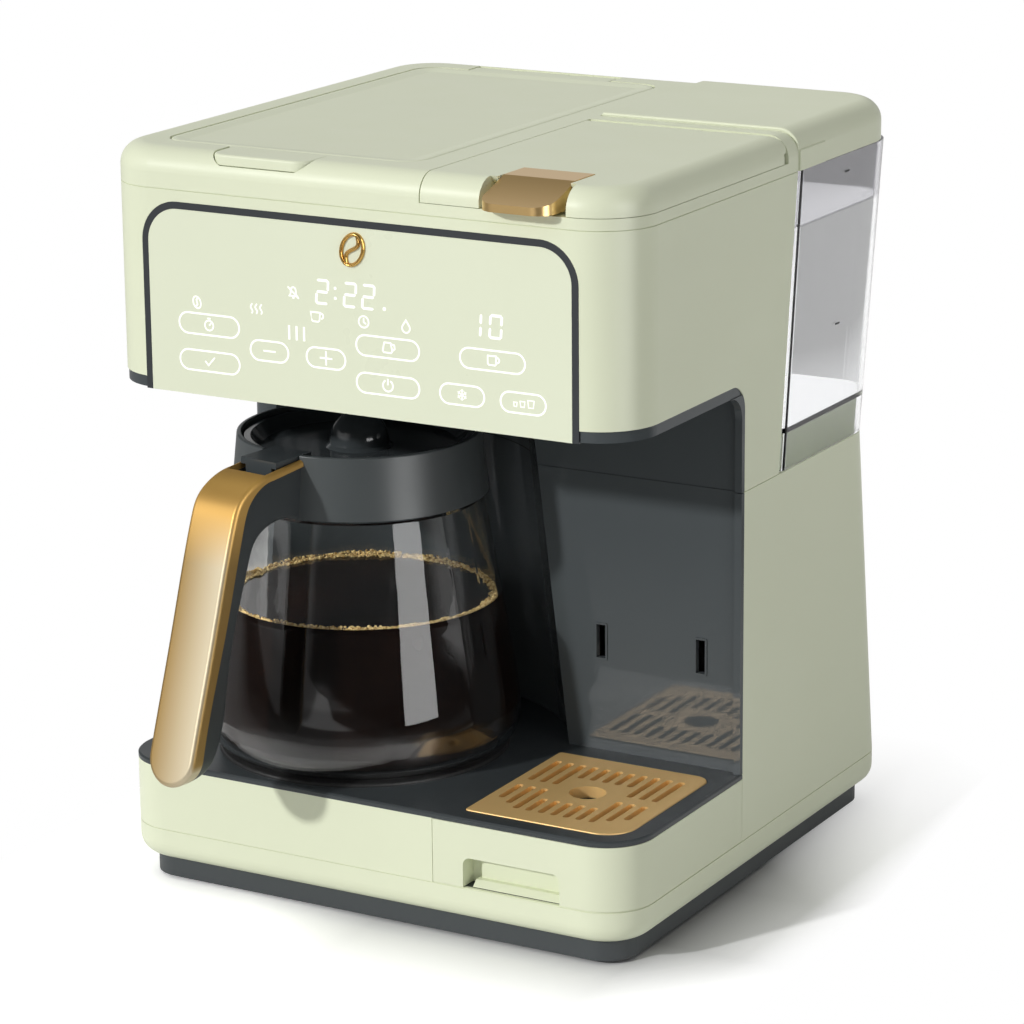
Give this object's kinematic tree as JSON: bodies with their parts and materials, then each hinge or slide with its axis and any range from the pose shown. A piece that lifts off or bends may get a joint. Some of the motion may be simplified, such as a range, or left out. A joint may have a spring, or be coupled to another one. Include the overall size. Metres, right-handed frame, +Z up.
{
  "type": "coffee maker",
  "caption": "Countertop coffee maker with a glass carafe bay beside a single-cup bay, touch panel, hinged lids and a lift-out water tank.",
  "frame": {"origin": "on the floor below the centre of the hood", "axes": "+X to the machine's left-hand side seen from behind (right seen from the front), +Y to the back, +Z up"},
  "size_m": [0.2858, 0.3611, 0.3715],
  "materials": {
    "green_plastic": "satin pale green",
    "dark_plastic": "satin charcoal",
    "plinth_plastic": "matt charcoal",
    "rubber": "matt black",
    "gold_metal": "brushed gold",
    "steel": "brushed",
    "plate_metal": "dark coated",
    "glass": "clear",
    "clear_plastic": "clear",
    "board": "green board",
    "silicone": "grey silicone"
  },
  "bodies": {
    "machine": {"foot_pads": "rubber", "base_plinth": "plinth_plastic", "lower_band": "green_plastic", "chassis_plate": "dark_plastic", "lower_housing": "green_plastic", "lower_liner": "dark_plastic", "deck": "dark_plastic", "warming_plate": "plate_metal", "warming_heater": "steel", "upper_housing": "green_plastic", "upper_liner": "dark_plastic", "top_cover": "green_plastic", "brew_hinge_pin": "steel", "pod_hinge_pin": "steel", "tank_pedestal": "green_plastic", "tank_seal": "silicone", "panel_trim": "dark_plastic", "control_panel": "green_plastic", "touch_board": "board", "display_module": "dark_plastic", "brew_chamber": "dark_plastic", "brew_basket": "dark_plastic", "pod_carrier": "dark_plastic", "pod_holder": "dark_plastic", "lower_needle": "steel", "boiler": "steel", "pump": "dark_plastic", "feed_hose": "silicone", "hot_hose": "silicone", "power_board": "board", "cable_gland": "rubber"},
    "brew_lid_body": {"brew_lid": "green_plastic", "shower_plate": "dark_plastic"},
    "pod_lid_body": {"pod_lid": "green_plastic", "latch_pin": "steel", "upper_needle": "steel"},
    "latch_body": {"pod_latch": "gold_metal"},
    "tank_body": {"tank_shell": "clear_plastic", "tank_hinge": "dark_plastic"},
    "tank_lid_body": {"tank_lid": "green_plastic"},
    "tank_valve_body": {"tank_valve": "dark_plastic"},
    "carafe_body": {"carafe_glass": "glass", "carafe_collar": "dark_plastic", "carafe_lid_pin": "steel", "handle_core": "dark_plastic", "handle_cover": "gold_metal"},
    "carafe_lid_body": {"carafe_lid": "dark_plastic"},
    "drawer_body": {"drawer_front": "green_plastic", "drip_tray": "dark_plastic"},
    "grate_body": {"cup_grate": "gold_metal"},
    "drip_stop_body": {"drip_stop": "dark_plastic"}
  },
  "joints": [
    {"name": "brew_lid_hinge", "type": "hinge", "parent": "machine", "child": "brew_lid_body", "pos_m": [-0.052, 0.131, 0.3658], "axis": [-1, 0, 0], "range_deg": [0, 90]},
    {"name": "pod_lid_hinge", "type": "hinge", "parent": "machine", "child": "pod_lid_body", "pos_m": [0.08325, 0.0125, 0.3658], "axis": [-1, 0, 0], "range_deg": [0, 85]},
    {"name": "pod_latch_hinge", "type": "hinge", "parent": "pod_lid_body", "child": "latch_body", "pos_m": [0.0889, -0.114, 0.368], "axis": [-1, 0, 0], "range_deg": [0, 12], "stiffness_Nm_per_rad": 0.05},
    {"name": "tank_lift", "type": "slide", "parent": "machine", "child": "tank_body", "axis": [0, 0.1223, 0.9925], "range_m": [0, 0.17]},
    {"name": "tank_lid_hinge", "type": "hinge", "parent": "tank_body", "child": "tank_lid_body", "pos_m": [0.07425, 0.1441, 0.3539], "axis": [-1, 0, 0], "range_deg": [0, 95]},
    {"name": "tank_valve_lift", "type": "slide", "parent": "tank_body", "child": "tank_valve_body", "axis": [0, 0, 1], "range_m": [0, 0.003], "stiffness_N_per_m": 150},
    {"name": "carafe_slide", "type": "slide", "parent": "machine", "child": "carafe_body", "axis": [0, -1, 0], "range_m": [0, 0.25]},
    {"name": "carafe_lid_hinge", "type": "hinge", "parent": "carafe_body", "child": "carafe_lid_body", "pos_m": [-0.05523, -0.1308, 0.2189], "axis": [0.9903, -0.1392, 0], "range_deg": [0, 10]},
    {"name": "drawer_slide", "type": "slide", "parent": "machine", "child": "drawer_body", "axis": [0, -1, 0], "range_m": [0, 0.11]},
    {"name": "grate_lift", "type": "slide", "parent": "machine", "child": "grate_body", "axis": [0, 0, 1], "range_m": [0, 0.12]},
    {"name": "drip_stop_lift", "type": "slide", "parent": "machine", "child": "drip_stop_body", "axis": [0, 0, 1], "range_m": [0, 0.004], "stiffness_N_per_m": 150}
  ]
}
